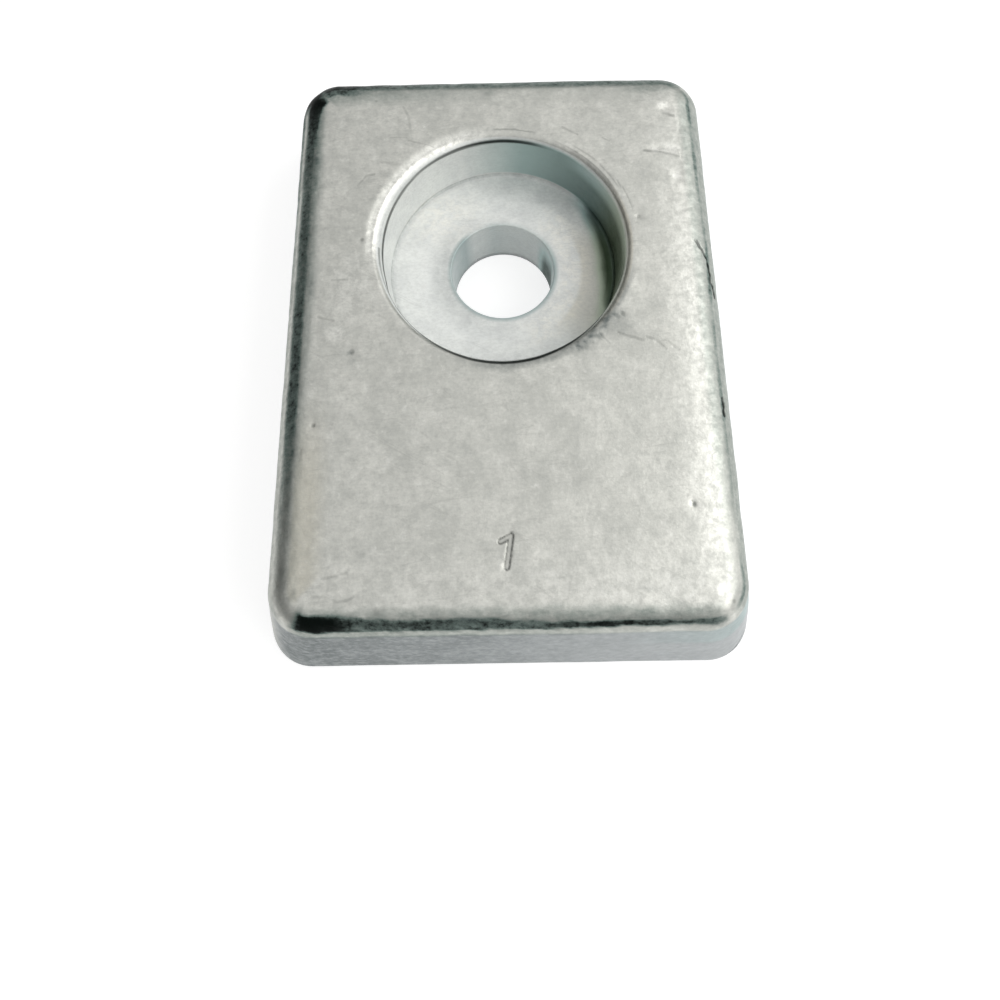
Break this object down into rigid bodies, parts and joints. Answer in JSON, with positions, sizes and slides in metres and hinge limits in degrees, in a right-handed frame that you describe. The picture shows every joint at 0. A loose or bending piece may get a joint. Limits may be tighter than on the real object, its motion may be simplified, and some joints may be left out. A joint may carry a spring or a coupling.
{
  "type": "sacrificial anode",
  "caption": "Rectangular cast zinc block that corrodes in place of a boat's metal parts, with tapered sides, a round bolt-head recess and a through bore.",
  "frame": {"origin": "centre of the flat mounting face, on the underside", "axes": "+Z out of the mounting face through the bolt, +Y along the block towards the end with the bore, +X across it"},
  "size_m": [0.0394, 0.0518, 0.011],
  "materials": {
    "zinc": "as cast, dull, lightly scratched"
  },
  "bodies": {
    "root": {"anode_block": "zinc"}
  },
  "joints": []
}
